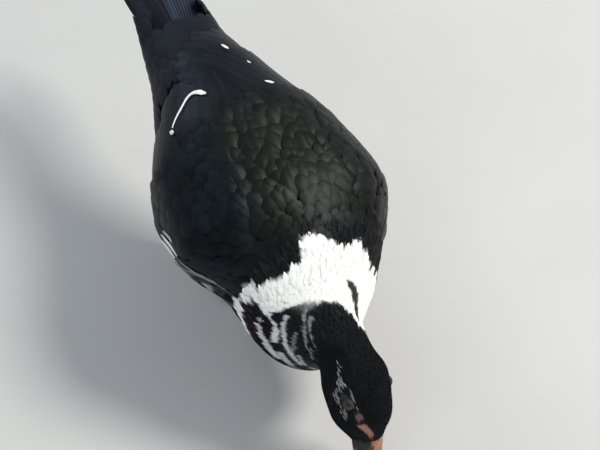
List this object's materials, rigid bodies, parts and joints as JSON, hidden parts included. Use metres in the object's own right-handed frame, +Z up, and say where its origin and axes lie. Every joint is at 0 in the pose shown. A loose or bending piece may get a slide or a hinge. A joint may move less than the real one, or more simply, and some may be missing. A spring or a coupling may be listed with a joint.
{
  "type": "muscovy duck model",
  "caption": "Still, life-size model of a muscovy duck hen, black with a white breast band, standing with its neck bent down and the tip of its bill on the ground.",
  "frame": {"origin": "centre of the whole bird's footprint box, on the floor", "axes": "+Z up, -Y the way the bird faces, so its tail is at +Y and its left side at +X"},
  "size_m": [0.1871, 0.5309, 0.2291],
  "materials": {
    "black_plumage": "satin, with a green and blue sheen",
    "white_plumage": "soft matt",
    "bill_horn": "satin",
    "dark_skin": "satin",
    "claw_horn": "satin",
    "eye": "wet gloss"
  },
  "bodies": {
    "root": {"trunk": "black_plumage", "neck": "white_plumage", "head": "black_plumage", "eye_left": "eye", "eye_right": "eye", "bill_upper": "bill_horn", "bill_lower": "bill_horn", "wing_left": "black_plumage", "wing_right": "black_plumage", "tail_left": "black_plumage", "tail_right": "black_plumage", "thigh_left": "black_plumage", "thigh_right": "black_plumage", "shank_left": "dark_skin", "shank_right": "dark_skin", "foot_left": "dark_skin", "foot_right": "dark_skin", "claw_left_inner": "claw_horn", "claw_left_middle": "claw_horn", "claw_left_outer": "claw_horn", "claw_left_hind": "claw_horn", "claw_right_inner": "claw_horn", "claw_right_middle": "claw_horn", "claw_right_outer": "claw_horn", "claw_right_hind": "claw_horn"}
  },
  "joints": []
}
